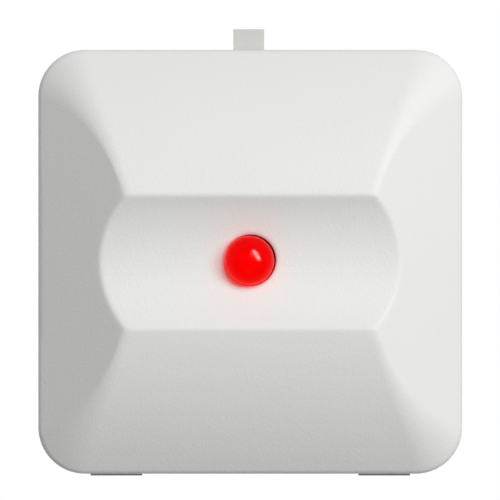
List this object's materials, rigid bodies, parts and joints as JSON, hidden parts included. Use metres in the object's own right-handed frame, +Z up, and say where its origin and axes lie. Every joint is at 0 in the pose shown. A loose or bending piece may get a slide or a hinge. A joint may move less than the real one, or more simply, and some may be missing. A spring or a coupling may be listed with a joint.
{
  "type": "fire alarm relay module",
  "caption": "Square wall-mounted relay module with a hinged, faceted white cover, a red alarm dome in a concave channel, a release tab and screw terminals inside.",
  "frame": {"origin": "middle of the base plate's rear face, on the wall", "axes": "+X to the right seen from the front, +Z up, +Y into the wall, so the front faces -Y"},
  "size_m": [0.082, 0.0232, 0.0867],
  "materials": {
    "cover_plastic": "white ABS with a fine spark-eroded grain",
    "base_plastic": "white ABS, plain moulded",
    "red_lens": "clear red acrylic, polished",
    "black_plastic": "black moulded plastic",
    "board_laminate": "green solder mask on glass laminate",
    "zinc_steel": "zinc plated steel",
    "terminal_plastic": "green moulded polyamide",
    "tinned_metal": "tinned copper",
    "clamp_metal": "nickel-flashed brass",
    "clear_case": "clear polycarbonate",
    "bobbin_plastic": "natural moulded plastic",
    "copper_wire": "enamelled copper wire",
    "relay_iron": "plated soft iron",
    "contact_metal": "spring bronze with silver contacts",
    "led_epoxy": "red diffused epoxy",
    "resistor_coat": "dipped coating",
    "capacitor_sleeve": "shrink sleeve"
  },
  "bodies": {
    "base": {"base_plate": "base_plastic", "circuit_board": "board_laminate", "board_screws": "zinc_steel", "supply_terminal_block": "terminal_plastic", "output_terminal_block": "terminal_plastic", "terminal_pins": "tinned_metal", "relay_base": "black_plastic", "relay_case": "clear_case", "relay_bobbin": "bobbin_plastic", "relay_winding": "copper_wire", "relay_core": "relay_iron", "relay_yoke": "relay_iron", "relay_closed_contact": "contact_metal", "relay_open_contact": "contact_metal", "relay_pins": "tinned_metal", "indicator_led": "led_epoxy", "resistors": "resistor_coat", "flyback_diode": "black_plastic", "driver_transistor": "black_plastic", "smoothing_capacitor": "capacitor_sleeve", "component_leads": "tinned_metal"},
    "cover": {"cover": "cover_plastic", "indicator_lens": "red_lens", "lens_retaining_ring": "black_plastic"},
    "release_tab": {"release_tab": "base_plastic"},
    "armature": {"relay_armature": "relay_iron", "relay_contact_spring": "contact_metal"},
    "terminal_screw_1": {"terminal_screw_1": "zinc_steel"},
    "terminal_screw_2": {"terminal_screw_2": "zinc_steel"},
    "terminal_screw_3": {"terminal_screw_3": "zinc_steel"},
    "terminal_screw_4": {"terminal_screw_4": "zinc_steel"},
    "terminal_screw_5": {"terminal_screw_5": "zinc_steel"},
    "wire_clamp_1": {"wire_clamp_1": "clamp_metal"},
    "wire_clamp_2": {"wire_clamp_2": "clamp_metal"},
    "wire_clamp_3": {"wire_clamp_3": "clamp_metal"},
    "wire_clamp_4": {"wire_clamp_4": "clamp_metal"},
    "wire_clamp_5": {"wire_clamp_5": "clamp_metal"}
  },
  "joints": [
    {"name": "cover_hinge", "type": "hinge", "parent": "base", "child": "cover", "pos_m": [0, -0.00105, -0.04025], "axis": [1, 0, 0], "range_deg": [0, 75]},
    {"name": "release_press", "type": "hinge", "parent": "base", "child": "release_tab", "pos_m": [-0.015, -0.002, 0.0363], "axis": [0, 1, 0], "range_deg": [0, 5.5], "stiffness_Nm_per_rad": 0.27},
    {"name": "armature_pull", "type": "hinge", "parent": "base", "child": "armature", "pos_m": [-0.00455, -0.0079, 0.0142], "axis": [0, 0, -1], "range_deg": [0, 3.4], "stiffness_Nm_per_rad": 0.01},
    {"name": "screw_1_turn", "type": "hinge", "parent": "base", "child": "terminal_screw_1", "pos_m": [-0.01475, -0.01, -0.0085], "axis": [0, 1, 0], "range_deg": [0, 1440]},
    {"name": "clamp_1_rise", "type": "slide", "parent": "base", "child": "wire_clamp_1", "axis": [0, -1, 0], "range_m": [0, 0.0018]},
    {"name": "screw_2_turn", "type": "hinge", "parent": "base", "child": "terminal_screw_2", "pos_m": [-0.01125, -0.01, -0.0085], "axis": [0, 1, 0], "range_deg": [0, 1440]},
    {"name": "clamp_2_rise", "type": "slide", "parent": "base", "child": "wire_clamp_2", "axis": [0, -1, 0], "range_m": [0, 0.0018]},
    {"name": "screw_3_turn", "type": "hinge", "parent": "base", "child": "terminal_screw_3", "pos_m": [0.0095, -0.01, -0.0085], "axis": [0, 1, 0], "range_deg": [0, 1440]},
    {"name": "clamp_3_rise", "type": "slide", "parent": "base", "child": "wire_clamp_3", "axis": [0, -1, 0], "range_m": [0, 0.0018]},
    {"name": "screw_4_turn", "type": "hinge", "parent": "base", "child": "terminal_screw_4", "pos_m": [0.013, -0.01, -0.0085], "axis": [0, 1, 0], "range_deg": [0, 1440]},
    {"name": "clamp_4_rise", "type": "slide", "parent": "base", "child": "wire_clamp_4", "axis": [0, -1, 0], "range_m": [0, 0.0018]},
    {"name": "screw_5_turn", "type": "hinge", "parent": "base", "child": "terminal_screw_5", "pos_m": [0.0165, -0.01, -0.0085], "axis": [0, 1, 0], "range_deg": [0, 1440]},
    {"name": "clamp_5_rise", "type": "slide", "parent": "base", "child": "wire_clamp_5", "axis": [0, -1, 0], "range_m": [0, 0.0018]}
  ],
  "couplings": [
    {"joint": "screw_1_turn", "follows": "clamp_1_rise", "rad_per_m": 13963},
    {"joint": "screw_2_turn", "follows": "clamp_2_rise", "rad_per_m": 13963},
    {"joint": "screw_3_turn", "follows": "clamp_3_rise", "rad_per_m": 13963},
    {"joint": "screw_4_turn", "follows": "clamp_4_rise", "rad_per_m": 13963},
    {"joint": "screw_5_turn", "follows": "clamp_5_rise", "rad_per_m": 13963}
  ]
}
